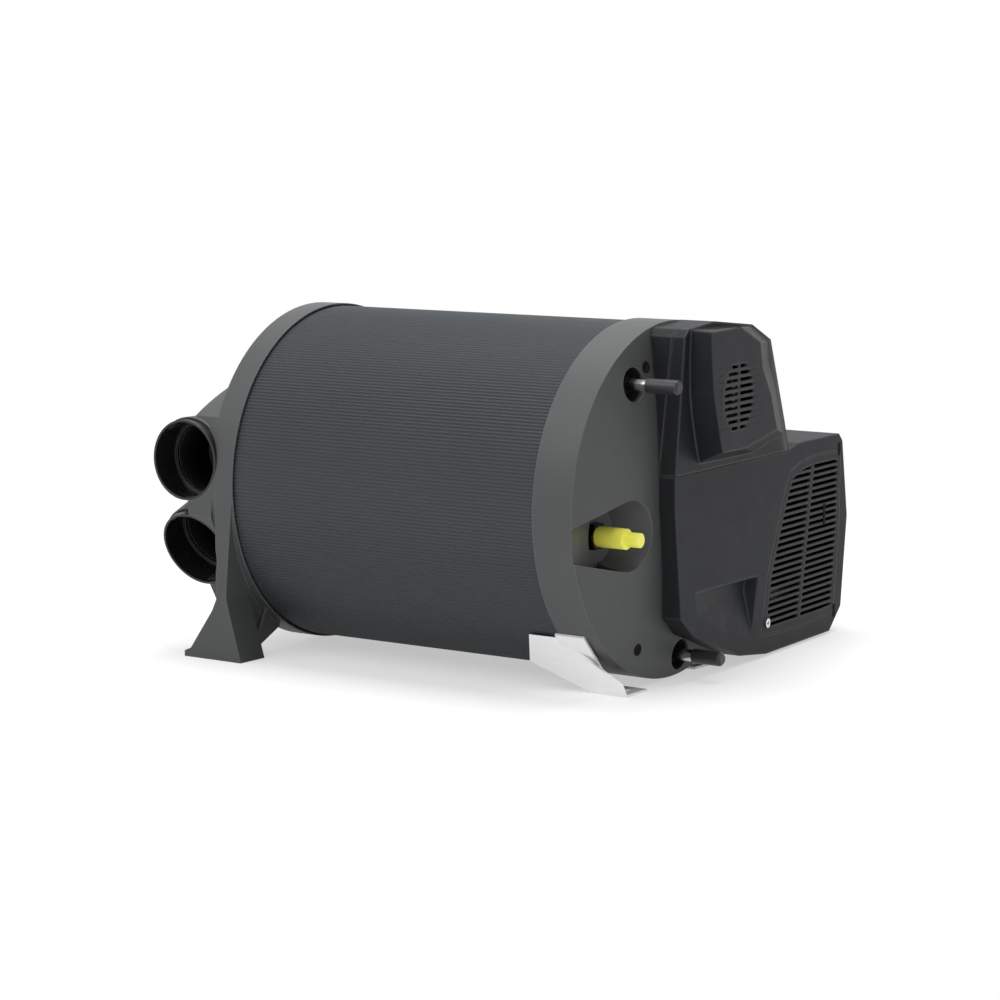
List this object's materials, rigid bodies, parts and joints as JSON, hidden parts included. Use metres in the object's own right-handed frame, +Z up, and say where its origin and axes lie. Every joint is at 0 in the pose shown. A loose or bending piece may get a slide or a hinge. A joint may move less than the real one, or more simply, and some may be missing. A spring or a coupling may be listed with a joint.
{
  "type": "caravan water heater",
  "caption": "Caravan water and air heater: a ribbed cylinder on feet with duct sockets at one end and covers, pipes and a fan box at the other.",
  "frame": {"origin": "on the floor, in the middle of the overall length and width", "axes": "+X along the cylinder towards the covers, +Z up, the gas pipe's side faces -Y"},
  "size_m": [0.4899, 0.45, 0.2992],
  "materials": {
    "jacket": "satin, finely ribbed",
    "cap_grey": "satin",
    "cover_black": "satin",
    "socket_black": "gloss",
    "foam": "matt",
    "steel": "brushed",
    "cast_aluminium": "cast",
    "white_metal": "white zinc",
    "cap_soft": "satin",
    "yellow": "satin",
    "black_nut": "black",
    "board": "matt"
  },
  "bodies": {
    "heater": {"burner_tube": "steel", "circulation_fan_motor": "socket_black", "cold_pipe_grommet": "cap_soft", "cold_water_pipe": "steel", "combustion_fan_housing": "cast_aluminium", "combustion_fan_motor": "socket_black", "container_end_plate": "steel", "control_unit": "board", "cylinder_jacket": "jacket", "duct_socket_far_lower": "socket_black", "duct_socket_far_upper": "socket_black", "duct_socket_near_lower": "socket_black", "duct_socket_near_upper": "socket_black", "electronics_cover": "cover_black", "fan_box_back": "cover_black", "fan_housing_cover": "cover_black", "far_bracket": "white_metal", "flue_spigot": "steel", "gas_nut": "black_nut", "gas_pipe": "steel", "gas_valve": "cast_aluminium", "grille_screw": "steel", "heat_exchanger": "cast_aluminium", "hot_pipe_grommet": "cap_soft", "hot_water_pipe": "steel", "insulation_shell": "foam", "intake_grille": "cover_black", "left_end_cap": "cap_grey", "near_bracket": "white_metal", "right_end_cap": "cap_grey", "temperature_sensor": "steel", "water_container": "steel"},
    "circulation_fan": {"circulation_fan_wheel": "socket_black", "circulation_fan_shaft": "steel"},
    "combustion_fan": {"combustion_fan_wheel": "cast_aluminium", "combustion_fan_shaft": "steel"},
    "hot_cap": {"hot_pipe_cap": "cap_soft"},
    "cold_cap": {"cold_pipe_cap": "cap_soft"},
    "gas_cap": {"gas_pipe_cap": "yellow"}
  },
  "joints": [
    {"name": "circulation_fan_spin", "type": "hinge", "parent": "heater", "child": "circulation_fan", "pos_m": [0.147, 0.1482, 0.09189], "axis": [1, 0, 0], "continuous": true},
    {"name": "combustion_fan_spin", "type": "hinge", "parent": "heater", "child": "combustion_fan", "pos_m": [0.213, -0.0601, 0.23604], "axis": [1, 0, 0], "continuous": true},
    {"name": "hot_cap_pull", "type": "slide", "parent": "heater", "child": "hot_cap", "axis": [1, 0, 0], "range_m": [0, 0.06]},
    {"name": "cold_cap_pull", "type": "slide", "parent": "heater", "child": "cold_cap", "axis": [1, 0, 0], "range_m": [0, 0.06]},
    {"name": "gas_cap_pull", "type": "slide", "parent": "heater", "child": "gas_cap", "axis": [1, 0, 0], "range_m": [0, 0.06]}
  ]
}
